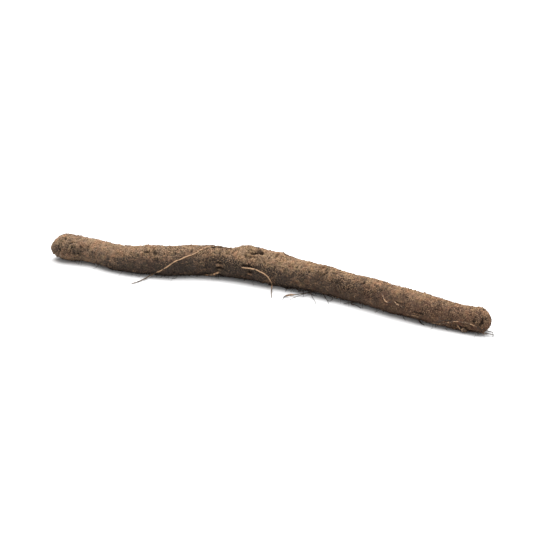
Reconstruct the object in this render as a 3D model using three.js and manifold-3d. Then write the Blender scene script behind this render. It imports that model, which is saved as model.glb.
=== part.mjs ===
// A burdock root: one taproot as dug, unwashed, trimmed at both ends, lying on a flat surface.
// Millimetres, +Z up. The two ends lie along X, the middle bows towards +Y, and the belly rests on z = 0.
// It grew as one piece, so the taproot and the rootlets that stand off it are joined into one solid.

import * as THREE from "three";
import { mergeVertices } from "three/addons/utils/BufferGeometryUtils.js";
import Module from "manifold-3d";

const wasm = await Module();
wasm.setup();

// ---- Driving dimensions ----

// The middle of the taproot seen from above: x and y, from the blunt crown end to the tail end.
const SPINE = [
  [-184, -5],
  [-150, -1],
  [-117, -5.5],
  [-87, 0.5],
  [-50, 16],
  [-15, 20],
  [30, 16],
  [75, 9],
  [125, -2],
  [179, -8],
];

// Distance along the root, radius there, and how far its belly is lifted off the surface.
const GIRTH = [
  [0, 9.8, 0.6],
  [12, 10.4, 0.6],
  [36, 8.9, 1.0],
  [60, 9.7, 0.0],
  [95, 11.2, 0.0],
  [140, 11.1, 0.8],
  [152, 11.0, 0.6],
  [168, 12.2, 0.0],
  [192, 11.9, 0.0],
  [218, 10.4, 1.0],
  [255, 9.8, 1.0],
  [300, 9.8, 0.5],
  [325, 9.5, 0.0],
  [350, 8.6, 0.0],
  [369, 8.0, 0.2],
];

// The two rounded ends: length, and how square the rounding is, where 2 is a plain ellipse.
const CROWN_DOME = { length: 13, squareness: 2 };
const TAIL_DOME = { length: 9, squareness: 2.3 };
const CROWN_SAG = { length: 15, depth: 1.5 }; // how far back the crown end droops, and by how much at its tip
const WIDENING = 1.04; // the root is a little wider than it is high
const BELLY = 0.05; // share of the radius by which the belly is flattened where it rests

// Slow lumps of the bark: height as a share of the radius, length of a wave along the root, waves round
// it, and where the wave starts.
const LUMPS = [
  { high: 0.022, every: 46, round: 1, start: 0.4 },
  { high: 0.015, every: 82, round: 2, start: 1.0 },
  { high: 0.012, every: 27, round: -1, start: 2.2 },
  { high: 0.01, every: 140, round: 3, start: 0.0 },
];

const SIDES = 28; // faces round the taproot
const RINGS = 96; // rings along it, the domes left out
const DOME_RINGS = 6; // rings in each dome

// Single swellings of the bark: distance along, angle round (0 is the front and 90 the top), half length,
// half width and height.
const SWELLINGS = [
  { at: 163, angle: 106, long: 8, wide: 7, high: 2.0 }, // old side shoot's knob
  { at: 193, angle: 100, long: 4, wide: 5, high: 0.8 }, // lump behind it
  { at: 231, angle: 88, long: 5, wide: 5, high: 0.8 }, // rootlet wart
  { at: 238, angle: 97, long: 8, wide: 8, high: 1.1 }, // swelling behind it
  { at: 362, angle: 100, long: 5, wide: 5, high: 1.2 }, // knob on the tail end
];

// Rootlets: the stretch that lies along the bark, as distance along and angle round, then the free
// stretch that comes down to the surface and lies on it, as x, y and z.
const ROOTLETS = [
  {
    radius: 0.5, // the long one over the crown half
    bark: [
      [139, 86],
      [133, 73],
      [128, 57],
      [123, 43],
      [117, 32],
      [111, 19],
      [105, 0],
      [100, -20],
      [94, -42],
    ],
    free: [
      [-90.5, -14, 1.6],
      [-92.5, -22, 0.8],
      [-95.5, -32, 0.8],
    ],
  },
  {
    radius: 0.5, // the middle one
    bark: [
      [167, 6],
      [173, 6.5],
      [180, 6],
      [187, 0],
      [191, -10],
      [192.5, -26],
      [192, -46],
    ],
    free: [
      [6, 2, 1.6],
      [9, -5, 0.8],
      [13, -12, 0.7],
    ],
  },
  {
    radius: 0.4, // the one round the tail end
    bark: [
      [326, -50],
      [338, -27],
      [345, -7],
      [351, 1],
      [357, 2],
      [363, -6],
      [367, -34],
    ],
    free: [
      [176.5, -15, 2.6],
      [180, -13, 2.2],
      [183.5, -10.5, 0.8],
    ],
  },
];
const ROOTLET_STAND = 0.45; // share of a rootlet's radius that its middle stands off the bark
const ROOTLET_STEP = 2.6; // length of one straight step along a rootlet
const ROOTLET_SIDES = 8;
const POINTS_PER_PLACE = 3; // points that follow the bark between two places of a rootlet's route

const BARK_COLOUR = 0x6a4e3a;

// ---- The taproot's surface ----

// A smooth curve through rows of [position, value, value...], read in one column at any position.
function smoothRows(rows, column) {
  const slopes = rows.map((row, i) => {
    const low = rows[Math.max(i - 1, 0)];
    const high = rows[Math.min(i + 1, rows.length - 1)];
    return (high[column] - low[column]) / (high[0] - low[0]);
  });
  return (position) => {
    const i = Math.max(rows.slice(0, -1).findLastIndex(([start]) => start <= position), 0);
    const [a, b] = [rows[i], rows[i + 1]];
    const run = b[0] - a[0];
    const t = THREE.MathUtils.clamp((position - a[0]) / run, 0, 1);
    const ease = t * t * (3 - 2 * t);
    return (
      (1 - ease) * a[column] +
      ease * b[column] +
      run * t * (1 - t) * ((1 - t) * slopes[i] - t * slopes[i + 1])
    );
  };
}

const spine = new THREE.CatmullRomCurve3(
  SPINE.map(([x, y]) => new THREE.Vector3(x, y, 0)),
  false,
  "centripetal",
);
spine.arcLengthDivisions = 800;
const ROOT_LENGTH = spine.getLength();
const girth = smoothRows(GIRTH, 1);
const lift = smoothRows(GIRTH, 2);

// How full the section is, from 0 at the very end to 1 where a dome has ended.
function dome(along) {
  const part = (distance, { length, squareness }) =>
    (1 - (1 - Math.min(distance / length, 1)) ** squareness) ** (1 / squareness);
  return part(along, CROWN_DOME) * part(ROOT_LENGTH - along, TAIL_DOME);
}

// Height of the slow lumps, as a share of the radius.
function lumps(along, angle) {
  return LUMPS.reduce(
    (sum, { high, every, round, start }) =>
      sum + high * Math.sin((2 * Math.PI * along) / every + round * angle + start),
    0,
  );
}

// Height of the single swellings at a place on the bark.
function swelling(along, angle) {
  return SWELLINGS.reduce((sum, s) => {
    const turn = angle - THREE.MathUtils.degToRad(s.angle);
    const shortest = THREE.MathUtils.euclideanModulo(turn + Math.PI, 2 * Math.PI) - Math.PI;
    const [forth, round] = [(along - s.at) / s.long, (shortest * girth(along)) / s.wide];
    return sum + s.high * Math.exp(-(forth ** 2) - round ** 2);
  }, 0);
}

// The point on the bark at a distance along the root and an angle round it, or off it by a height.
function barkPoint(along, angle, height = 0) {
  const u = THREE.MathUtils.clamp(along / ROOT_LENGTH, 0, 1);
  const forward = spine.getTangentAt(u);
  const up = new THREE.Vector3(0, 0, 1);
  const front = forward.clone().cross(up).normalize();
  const radius = girth(along);
  const bark = dome(along) * (radius * (1 + lumps(along, angle)) + swelling(along, angle)) + height;
  const point = spine.getPointAt(u);
  const sag = CROWN_SAG.depth * (1 - Math.min(along / CROWN_SAG.length, 1)) ** 2;
  point.z = radius * (1 - BELLY) + lift(along) - sag;
  point.addScaledVector(front, WIDENING * bark * Math.cos(angle));
  point.addScaledVector(up, bark * Math.sin(angle));
  point.z = Math.max(point.z, 0);
  return point;
}

// ---- Solids ----

function solidOf(geometry) {
  geometry.deleteAttribute("normal");
  geometry.deleteAttribute("uv");
  const merged = mergeVertices(geometry, 1e-3);
  const mesh = new wasm.Mesh({
    numProp: 3,
    vertProperties: merged.attributes.position.array,
    triVerts: new Uint32Array(merged.index.array),
  });
  return new wasm.Manifold(mesh);
}

function geometryOf(solid) {
  const mesh = solid.getMesh();
  const geometry = new THREE.BufferGeometry();
  geometry.setAttribute("position", new THREE.BufferAttribute(mesh.vertProperties, 3));
  geometry.setIndex(new THREE.BufferAttribute(mesh.triVerts, 1));
  geometry.computeVertexNormals();
  return geometry;
}

// Distances along the root where a ring of the bark lies: close together in the domes.
function ringPlaces() {
  const places = [];
  for (let i = 0; i < DOME_RINGS; i++) {
    const share = 1 - Math.cos((i / DOME_RINGS) * (Math.PI / 2));
    places.push(share * CROWN_DOME.length, ROOT_LENGTH - share * TAIL_DOME.length);
  }
  const straight = ROOT_LENGTH - CROWN_DOME.length - TAIL_DOME.length;
  for (let i = 0; i <= RINGS; i++) places.push(CROWN_DOME.length + (straight * i) / RINGS);
  return places.sort((a, b) => a - b);
}

// A lathe turns the rings out straight, and each of its points is then moved to its place on the bark.
function taprootSolid() {
  const places = ringPlaces();
  const lathe = new THREE.LatheGeometry(
    places.map((along) => new THREE.Vector2(dome(along), along)),
    SIDES,
  );
  const position = lathe.attributes.position;
  for (let i = 0; i < position.count; i++) {
    const side = Math.floor(i / places.length) % SIDES;
    const angle = (-2 * Math.PI * side) / SIDES - Math.PI / 2;
    position.setXYZ(i, ...barkPoint(places[i % places.length], angle));
  }
  return solidOf(lathe);
}

// A round rod along a rootlet's route: over the bark first, then down to the surface.
function rootletSolid({ radius, bark, free }) {
  const overBark = new THREE.SplineCurve(bark.map((place) => new THREE.Vector2(...place)));
  const points = overBark
    .getPoints(bark.length * POINTS_PER_PLACE)
    .map(({ x, y }) => barkPoint(x, THREE.MathUtils.degToRad(y), ROOTLET_STAND * radius));
  for (const place of free) points.push(new THREE.Vector3(...place));
  const route = new THREE.CatmullRomCurve3(points, false, "centripetal");
  const section = new THREE.Shape();
  section.absarc(0, 0, radius, 0, 2 * Math.PI);
  const steps = Math.round(route.getLength() / ROOTLET_STEP);
  const rod = { extrudePath: route, steps, curveSegments: ROOTLET_SIDES };
  return solidOf(new THREE.ExtrudeGeometry(section, rod));
}

function burdockRoot() {
  let solid = taprootSolid();
  for (const rootlet of ROOTLETS) solid = solid.add(rootletSolid(rootlet));
  const bark = new THREE.MeshStandardMaterial({ color: BARK_COLOUR, roughness: 0.95, metalness: 0 });
  const mesh = new THREE.Mesh(geometryOf(solid), bark);
  mesh.name = "burdock_root";
  return mesh;
}

const root = new THREE.Group();
root.add(burdockRoot());

export default root;
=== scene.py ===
"""A burdock root as dug, unwashed, on a pale floor: its taproot, rootlets, root hairs and clinging soil."""
import itertools
import math

import bpy
import numpy as np
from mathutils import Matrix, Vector


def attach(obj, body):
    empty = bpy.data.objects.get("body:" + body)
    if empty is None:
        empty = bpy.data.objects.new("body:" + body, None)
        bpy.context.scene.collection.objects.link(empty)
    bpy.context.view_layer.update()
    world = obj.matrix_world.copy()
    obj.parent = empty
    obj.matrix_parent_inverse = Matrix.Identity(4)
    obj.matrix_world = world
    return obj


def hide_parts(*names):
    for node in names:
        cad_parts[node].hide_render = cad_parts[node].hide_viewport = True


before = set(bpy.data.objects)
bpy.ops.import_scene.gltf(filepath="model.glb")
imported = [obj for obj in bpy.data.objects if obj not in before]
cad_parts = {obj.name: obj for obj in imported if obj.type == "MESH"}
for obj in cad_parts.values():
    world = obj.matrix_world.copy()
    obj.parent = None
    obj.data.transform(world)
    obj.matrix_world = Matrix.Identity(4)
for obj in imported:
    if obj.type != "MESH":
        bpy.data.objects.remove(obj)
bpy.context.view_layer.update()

bl_info = {
    "name": "Burdock root",
    "version": (1, 0, 0),
    "blender": (4, 5, 0),
    "location": "View3D > Sidebar > Burdock root",
    "description": "Builds an unwashed burdock root with its rootlets, root hairs and soil",
    "category": "Object",
}

NODE = "burdock_root"
BODY = "root"
MM = 0.001

# ---- The taproot, in millimetres, as the solid has it ----

# The middle of the taproot seen from above: x and y, from the crown end to the tail end.
SPINE = (
    (-184, -5), (-150, -1), (-117, -5.5), (-87, 0.5), (-50, 16),
    (-15, 20), (30, 16), (75, 9), (125, -2), (179, -8),
)

# Distance along the root, radius there, and how far its belly is lifted off the surface.
GIRTH = (
    (0, 9.8, 0.6), (12, 10.4, 0.6), (36, 8.9, 1.0), (60, 9.7, 0.0), (95, 11.2, 0.0),
    (140, 11.1, 0.8), (152, 11.0, 0.6), (168, 12.2, 0.0), (192, 11.9, 0.0), (218, 10.4, 1.0),
    (255, 9.8, 1.0), (300, 9.8, 0.5), (325, 9.5, 0.0), (350, 8.6, 0.0), (369, 8.0, 0.2),
)

# The two rounded ends: length, and how square the rounding is, where 2 is a plain ellipse.
CROWN_DOME, CROWN_SQUARENESS = 13, 2
TAIL_DOME, TAIL_SQUARENESS = 9, 2.3
CROWN_SAG = (15, 1.5)  # how far back the crown end droops, and by how much at its tip
WIDENING = 1.04
BELLY = 0.05

# Slow lumps: height as a share of the radius, length of a wave along the root, waves round it, start.
LUMPS = (
    (0.022, 46, 1, 0.4), (0.015, 82, 2, 1), (0.012, 27, -1, 2.2), (0.010, 140, 3, 0),
)

# Single swellings: distance along, angle round with 90 on top, half length, half width, height.
SWELLINGS = (
    (163, 106, 8, 7, 2), (193, 100, 4, 5, 0.8), (231, 88, 5, 5, 0.8), (238, 97, 8, 8, 1.1),
    (362, 100, 5, 5, 1.2),
)

# ---- Marks on the bark: distance along, angle round, half length, half width and depth in millimetres ----

# Pits where rootlets broke off or the skin has sunk.
PITS = (
    (14.5, 55, 1.3, 1.1, 0.8), (27.8, -3, 1.4, 1.2, 0.9), (10.2, 18, 1.2, 1.5, 0.45),
    (11.4, 2, 1.2, 1.6, 0.5), (13.6, -14, 1.4, 1.4, 0.5), (30, 28, 1.3, 1, 0.5),
    (36.4, 40, 1.8, 1.1, 0.5), (46, 12, 1.5, 1.3, 0.5), (88.5, 52, 3.2, 1.1, 0.9),
    (95.5, 47, 2.6, 1, 0.8), (146.5, 98, 2.2, 1, 1), (152, 87, 1.8, 1, 0.9), (177, 85, 1.6, 1.3, 1.2),
    (202.2, 33, 0.9, 0.8, 0.7), (206.7, 46, 0.9, 0.8, 0.7), (243.5, 66, 1.5, 0.8, 0.8),
    (249, 27, 2, 1, 0.5), (256, 10, 2.2, 1.2, 0.5), (302, 16, 1.8, 0.7, 0.5), (309, 20, 2.6, 0.7, 0.5),
    (317, -4, 1.6, 0.8, 0.5), (324, -1, 1.6, 0.7, 0.4), (361.5, 16, 1.6, 1, 0.6), (365.5, 8, 1, 1.2, 0.6),
    (344, 22, 1.8, 0.9, 0.4), (213.3, 49, 1, 0.9, 0.6), (218.5, 31, 0.8, 0.7, 0.5),
    (232, 52, 0.9, 0.8, 0.5), (237.6, 64, 0.9, 1.7, 1.3), (271.4, 54, 1.5, 1.4, 0.8),
    (290.4, 58, 1.2, 1, 0.6), (367.4, 15, 1.2, 1.2, 0.8), (368.6, 50, 0.8, 1.4, 0.7),
)

# Long open slots in the skin.
SLOTS = (
    (173.5, 62, 4.2, 1.2, 1.8), (180.2, 70, 2.8, 2, 2.2), (176, 76, 3, 0.8, 1.3),
    (172.5, 105, 3, 1.1, 1.4), (146.9, -6, 2.5, 1.2, 1.5), (146.4, 13, 3.4, 0.7, 1.1),
    (171.8, 77, 5, 0.7, 1.3), (177.2, 66, 2.8, 0.9, 1.5), (173, 13, 7, 1, 1.3),
    (174.1, -7.5, 4.2, 1, 1.6), (138, 80, 3, 1, 0.8), (305.5, 15, 4.5, 0.6, 0.6), (321, -3, 4.5, 0.7, 1),
    (366.6, 24, 0.8, 4.5, 0.8), (351, -24, 8, 1, 0.8), (358, -46, 6, 1.6, 0.8), (278, 26, 6, 0.6, 0.5),
    (334, 30, 7, 0.6, 0.5), (149, 86, 4, 0.9, 0.8),
)

# Ring scars of old side shoots: distance along, angle round, radius, height of the ring, depth of its middle.
RINGS = (
    (23.6, 8, 4.6, 0.9, -0.5), (235.3, 66, 2.9, 1.2, 0.2), (75, 215, 3.4, 0.45, 0.5),
    (283, 168, 3, 0.45, 0.6), (118, 150, 2.6, 0.4, 0.6),
)

# Lips of lifted bark: distance along, angle round, half length, half width, height.
LIPS = (
    (40, -55, 7, 1.3, 1.1), (33, -47, 5, 1.2, 0.6), (144, 92, 6, 1.3, 0.5), (146.6, 4, 2.6, 0.7, 1),
    (146.4, -15, 2.4, 0.6, 0.7), (173.5, -15, 4, 0.8, 0.7), (144.3, 1, 1.2, 0.7, 0.8),
    (149.6, 1, 1.2, 0.7, 0.8), (172, 58, 6, 0.8, 0.6), (96, 38, 6, 2.2, 0.3), (191, 90, 5, 0.9, 0.3),
)

# Damp stains, and in some rows painted shade or painted light: distance along, angle round, half length, half
# width, strength.
STAINS_AND_PAINTED_LIGHT_AND_SHADE = (
    (9, 8, 3.5, 5, 0.8), (14.3, 55, 2, 2, 0.6), (21, 6, 4, 4, 0.3), (26, 8, 14, 6, 0.35),
    # (62, -38) is painted shade along the bottom of the crown half.
    (27.7, 0, 3, 3, 0.4), (35, 32, 5, 3, 0.7), (46, 14, 6, 5, 0.5), (62, -38, 22, 4, 0.8),
    (91, 50, 6, 3, 0.15), (144, 84, 15, 5, 0.5), (120, 60, 12, 8, 0.1), (169, -13, 5, 1.6, 0.8),
    (178, 62, 8, 3, 0.5), (252, 18, 10, 6, 0.6), (205, -52, 14, 3, 0.7), (316, 4, 12, 6, 0.4),
    # (355, -36) and (346, -48) darken the bark under the tail rootlet: dark soil and its painted shadow.
    (343, 20, 9, 5, 0.4), (362, 8, 5, 5, 0.6), (355, -36, 9, 4, 1), (346, -48, 8, 3, 0.9),
    # (28, -55) is a paler patch low on the crown end: painted light, standing in for light bounced up from
    # the floor.
    (237, 50, 2.5, 1.6, -0.6), (28, -55, 26, 8, -0.6), (15, 6, 13, 10, 0.2), (107, 42, 9, 7, 0.3),
    (105, -8, 26, 7, 0.3), (100, 26, 16, 4, -0.4), (172, 48, 12, 5, -0.4), (212, 34, 22, 5, 0.3),
    (208, 52, 26, 5, -0.2), (158, 52, 24, 5, -0.25), (278, 24, 28, 6, 0.3), (34, 84, 30, 5, -0.3),
    (272, 52, 26, 5, 0.2), (88, 64, 20, 5, 0.2), (40, 60, 28, 8, -0.4), (345, 30, 28, 12, 0.3),
    # (166, 1) is painted shade, a dark band across the front.
    (166, 1, 22, 4, 1.3), (146.6, 3, 4.2, 1.3, -1.2), (146.6, -6, 2.6, 1, 1.3), (146.4, 13, 3.4, 0.8, 1),
    (146.4, -15, 2.6, 0.9, -0.9), (173.5, -15, 4, 1, -1.6), (191, 90, 5, 1.4, -1.6),
    # (358, -40) darkens under the tail rootlet: dark soil and its painted shadow.
    (328, -10, 26, 5, 0.7), (358, -40, 9, 5, 0.8), (160, 60, 5, 4, -0.4), (302, 45, 7, 4, -0.4),
    (316, -14, 12, 2, 0.6), (318, 45, 6, 4, -0.5), (100, 190, 14, 8, 0.7), (190, 160, 12, 7, 0.6),
    (290, 200, 16, 6, 0.7),
)

# Broad places painted darker as shade, where the soil sits in clods and where it is brushed smooth: as
# for the stains, without the strength.
PAINTED_SHADE_PLACES = (
    (105, -16, 26, 11), (150, -22, 34, 13), (165, -4, 26, 6), (152, 4, 22, 5), (232, 20, 12, 6),
    (300, -20, 30, 12),
)
CLODDY_PLACES = (
    (150, 60, 26, 11), (178, 35, 16, 8), (96, 60, 12, 7), (262, 30, 20, 6), (120, 200, 40, 10),
    (250, 170, 30, 9),
)

BRUSHED_PLACES = (
    (105, -4, 32, 10), (166, -12, 28, 10), (235, -4, 26, 8), (290, 24, 30, 8),
)

# Places where the skin is rubbed thin and warmer flesh shows: as for the stains.
RAW_PLACES = (
    (12.5, 72, 3.5, 3, 0.72), (174, -8, 4, 1.6, 0.4), (146.6, 3, 3, 0.9, 0.55), (191, 90, 5, 1.2, 0.6),
    (363.7, 94, 4, 3.5, 0.4), (367, -70, 2.6, 3.2, 0.8), (366, 160, 2, 3, 0.8), (100, 230, 3, 2, 0.6),
)

# Stout rootlets: radii from base to tip, how much soil hides the skin, the stretch over the bark as distance
# along and angle round, then the free stretch that comes down to the surface, as x, y and z.
ROOTLETS = {
    "long_rootlet": (
        (0.34, 0.42, 0.42, 0.4, 0.44, 0.48, 0.36), 0.28,
        ((139, 86), (133, 73), (128, 57), (123, 43), (117, 32), (111, 19), (105, 0), (100, -20), (94, -42)),
        ((-90.5, -14, 1.6), (-92.5, -22, 0.8), (-95.5, -32, 0.8)),
    ),
    "middle_rootlet": (
        (0.37, 0.45, 0.45, 0.41, 0.4, 0.36, 0.28), 0.2,
        ((167, 6), (173, 6.5), (180, 6), (187, 0), (191, -10), (192.5, -26), (192, -46)),
        ((6, 2, 1.6), (9, -5, 0.8), (13, -12, 0.7)),
    ),
    "tail_rootlet": (
        (0.29, 0.35, 0.35, 0.32, 0.32, 0.29, 0.22), 0.6,
        ((326, -50), (338, -27), (345, -7), (351, 1), (357, 2), (363, -6), (367, -34)),
        ((176.5, -15, 2.6), (180, -13, 2.2), (183.5, -10.5, 0.8)),
    ),
}

# Small rootlets and stubs: skin, radii from base to tip, the stretch over the bark as distance along and
# angle round, then the free stretch as distance along, distance in front of the root's middle, and height.
SMALL_ROOTLETS = {
    "broken_stub": (
        "clean", (0.6, 1.0, 0.8, 0.5, 0.3), ((145.6, -27), (140.5, -44), (134, -59), (126, -65)), (),
    ),
    "lifted_strip": (
        "soiled", (0.5, 1.1, 1.0, 0.9, 0.3), ((188, -56), (195, -62), (201, -64)), ((207, 8.5, 1.4),),
    ),
    "branch": (
        "soiled", (0.55, 0.4, 0.35, 0.35, 0.3, 0.15), ((231, -50), (226, -60)),
        ((225, 9, 2.2), (221, 15, 1.8), (216, 19, 1.2), (213, 23, 0.9), (214, 29, 0.3)),
    ),
    "branch_knot": (
        "clean", (0.3, 0.75, 0.7, 0.25), (),
        ((218.5, 16.5, 1.5), (216, 19, 1.2), (213, 22, 0.9), (212, 24, 0.6)),
    ),
    "branch_fork": (
        "soiled", (0.3, 0.25, 0.12), (), ((224, 11, 1.9), (222, 18, 1.6), (219, 24, 0.9), (219, 30, 0.2)),
    ),
    "curled_rootlet": (
        "soiled", (0.35, 0.3, 0.25, 0.15), ((214, -55),),
        ((213, 7, 2.2), (216, 11, 3.2), (220, 11, 2.2), (219, 7.5, 1.0), (215, 8, 0.5)),
    ),
    "long_hair": (
        "soiled", (0.22, 0.18, 0.1), (), ((226, 8, 2.4), (231, 14, 1.8), (238, 20, 0.7), (243, 27, 0.2)),
    ),
    "tuft_hair_a": (
        "soiled", (0.3, 0.25, 0.15), ((221, -50),), ((223, 7, 2.6), (226, 8.5, 1.0), (230, 8.5, 0.4)),
    ),
    "tuft_hair_b": (
        "soiled", (0.3, 0.22, 0.12), ((210, -52),), ((209, 8, 1.8), (206, 10, 1.0), (207, 13, 0.3)),
    ),
    "tuft_hair_c": (
        "soiled", (0.25, 0.2, 0.12), ((217, -46),), ((219, 9, 4.2), (222, 12, 3.0), (224, 15, 0.6)),
    ),
    "slack_hair_a": (
        "soiled", (0.28, 0.22, 0.12), ((236, -52),), ((238, 8, 1.8), (242, 11, 0.9), (247, 16, 0.2)),
    ),
    "slack_hair_b": (
        "soiled", (0.25, 0.22, 0.12), ((239, -46),),
        ((242, 8, 2.8), (246, 9, 1.8), (246, 12, 0.7), (242, 11, 0.4)),
    ),
    "crook_a": (
        "soiled", (0.4, 0.32, 0.3, 0.15), ((267, -46),), ((263, 8, 2.0), (260, 10, 1.5), (257, 11, 0.5)),
    ),
    "crook_b": (
        "soiled", (0.32, 0.28, 0.15), ((262, -52),),
        ((263, 9, 1.2), (266, 10, 1.6), (269, 9, 0.6), (272, 10, 0.3)),
    ),
    "dark_twig": ("soiled", (0.4, 0.5, 0.45, 0.2), ((315, -46), (318, -58)), ((321, 8, 1.2), (325, 10, 0.5))),
    "knobbed_stub": (
        "clean", (0.35, 0.3, 0.35, 1.3, 1.5, 1.0), ((349, -22), (352, -38)), ((354, 8, 2.6), (356, 7.6, 1.6)),
    ),
    "thin_rootlet": ("soiled", (0.15, 0.3, 0.3, 0.15), ((330, -36), (337, -16), (343, -3), (350, 5)), ()),
    "curl": (
        "clean", (0.25, 0.5, 0.42, 0.4, 0.4, 0.25),
        ((289.8, 31), (292.4, 17), (294.3, 8), (296.6, 5), (298.5, 11), (299, 19)), (),
    ),
    "flat_rootlet": (
        "clean", (0.2, 0.45, 0.4, 0.25), ((300.5, 16), (302.2, 12), (303.7, 6), (307, 4), (310, 5)), (),
    ),
    "long_strip": (
        "clean", (0.12, 0.26, 0.28, 0.12), ((311, -31), (315.6, -24), (320.5, -18), (325, -12)), (),
    ),
    "tail_tip": (
        "soiled", (0.25, 0.3, 0.25, 0.12), ((367.5, -20),), ((371, 3, 3.2), (373, 1.5, 2.4), (375, 5, 0.4)),
    ),
    "back_rootlet_a": (
        "clean", (0.5, 0.5, 0.4, 0.2), ((58, 120), (66, 150), (72, 176), (80, 205)),
        ((86, -12, 1.2), (94, -17, 0.4)),
    ),
    "back_rootlet_b": (
        "clean", (0.35, 0.4, 0.35, 0.15), ((206, 118), (216, 132), (230, 140), (244, 158), (250, 180)), (),
    ),
    "back_rootlet_c": (
        "soiled", (0.45, 0.4, 0.3, 0.15), ((292, 130), (285, 160), (282, 190)),
        ((278, -11, 1.2), (270, -16, 0.3)),
    ),
    "back_stub": ("clean", (0.8, 0.9, 0.7, 0.3), ((150, 165), (154, 180)), ((157, -13.5, 6.5),)),
}

# How dusty the soil is: on the sides, how much more on top as dust and painted light, the crown end's extra,
# what a place of painted shade takes.
DRY_SIDES, TOP_DUST_AND_PAINTED_LIGHT, DRY_CROWN, PAINTED_SHADE_LOSS = 0.4, 0.6, 0.35, 0.5
DRY_CROWN_REACH = 50

# Bands along the root, a painted highlight along the top edge and painted shade across the front: strength,
# angle round, half width in degrees.
PAINTED_LIGHT_BANDS = ((0.25, 112, 20), (-0.16, 4, 26))

# Damper soil on the tail half: where it starts, over what length, how much, and how much less on the crest.
TAIL_DAMP = (222, 55, 0.4, 0.3)
CREST = (100, 24)

# Paler crust low on the crown end, partly painted light bounced up from the floor: strength, reach along the
# root, angle round, half width in degrees.
LOW_CRUST_AND_PAINTED_BOUNCE = (0.7, 80, -34, 24)

# Rust in the bark: from the middle to the tail over a length, and a patch low down on the tail half.
RUST_START, RUST_LENGTH, RUST_SHARE = 215, 130, 0.6
RUST_PATCH, RUST_PATCH_SHARE = (338, -25, 26, 9), 0.3

# ---- Curves and surfaces, worked in millimetres on whole arrays ----


def smooth_rows(rows, column):
    """A smooth curve through rows, read in one column at any positions."""
    table = np.array(rows, float)
    start, value = table[:, 0], table[:, column]
    low = np.maximum(np.arange(len(start)) - 1, 0)
    high = np.minimum(np.arange(len(start)) + 1, len(start) - 1)
    slope = (value[high] - value[low]) / (start[high] - start[low])

    def read(position):
        i = np.clip(np.searchsorted(start, position, side="right") - 1, 0, len(start) - 2)
        run = start[i + 1] - start[i]
        t = np.clip((position - start[i]) / run, 0, 1)
        ease = t * t * (3 - 2 * t)
        bend = run * t * (1 - t) * ((1 - t) * slope[i] - t * slope[i + 1])
        return (1 - ease) * value[i] + ease * value[i + 1] + bend

    return read


def smooth_line(points, steps=60):
    """Points of a centripetal Catmull-Rom curve through the given points, steps to a span."""
    given = np.array(points, float)
    knots = np.vstack((2 * given[0] - given[1], given, 2 * given[-1] - given[-2]))
    t = np.linspace(0, 1, steps, endpoint=False)[:, None]
    spans = []
    for p0, p1, p2, p3 in zip(knots, knots[1:], knots[2:], knots[3:]):
        d0, d1, d2 = (math.sqrt(np.linalg.norm(b - a)) for a, b in ((p0, p1), (p1, p2), (p2, p3)))
        leave = ((p1 - p0) / d0 - (p2 - p0) / (d0 + d1) + (p2 - p1) / d1) * d1
        reach = ((p2 - p1) / d1 - (p3 - p1) / (d1 + d2) + (p3 - p2) / d2) * d1
        spans.append(
            p1 + leave * t + (3 * (p2 - p1) - 2 * leave - reach) * t**2
            + (2 * (p1 - p2) + leave + reach) * t**3
        )
    return np.vstack(spans + [given[-1:]])


def lengths_along(line):
    """Distance from the start to each point of a line."""
    return np.concatenate(([0], np.cumsum(np.linalg.norm(np.diff(line, axis=0), axis=1))))


SPINE_LINE = smooth_line(SPINE)
SPINE_LENGTHS = lengths_along(SPINE_LINE)
ROOT_LENGTH = SPINE_LENGTHS[-1]
girth = smooth_rows(GIRTH, 1)
lift = smooth_rows(GIRTH, 2)


def spine_at(along):
    """x and y of the spine at distances along it."""
    return np.column_stack([np.interp(along, SPINE_LENGTHS, SPINE_LINE[:, k]) for k in (0, 1)])


def headings(along):
    """Unit vectors seen from above at distances along the spine: ahead, and out to the front."""
    ahead = spine_at(np.minimum(along + 0.5, ROOT_LENGTH)) - spine_at(np.maximum(along - 0.5, 0))
    ahead /= np.linalg.norm(ahead, axis=1)[:, None]
    return ahead, np.column_stack((ahead[:, 1], -ahead[:, 0]))


def dome(along):
    """How full the section is: 0 at the very end, 1 where a dome has ended."""
    crown = 1 - np.clip(along / CROWN_DOME, 0, 1)
    tail = 1 - np.clip((ROOT_LENGTH - along) / TAIL_DOME, 0, 1)
    return (1 - crown**CROWN_SQUARENESS) ** (1 / CROWN_SQUARENESS) * (
        1 - tail**TAIL_SQUARENESS
    ) ** (1 / TAIL_SQUARENESS)


def bell(value, middle, half):
    """1 at the middle, and about a third at a half width to either side."""
    return np.exp(-(((value - middle) / half) ** 2))


def turn_between(angle, degrees):
    """Shortest turn from an angle in degrees to angles in radians."""
    return (angle - math.radians(degrees) + math.pi) % (2 * math.pi) - math.pi


def band(angle, degrees, half):
    """A band along the root, 1 at an angle, with a half width in degrees."""
    return bell(turn_between(angle, degrees), 0, math.radians(half))


def hump(along, angle, at, degrees, long, wide):
    """A smooth hump, 1 at its top, round a place on the bark."""
    forth = (along - at) / long
    across = turn_between(angle, degrees) * girth(along) / wide
    return np.exp(-(forth**2) - across**2)


def humps(rows, along, angle):
    """The sum of a table's humps, each as high as the last number of its row."""
    return sum(high * hump(along, angle, *place) for *place, high in rows)


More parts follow.
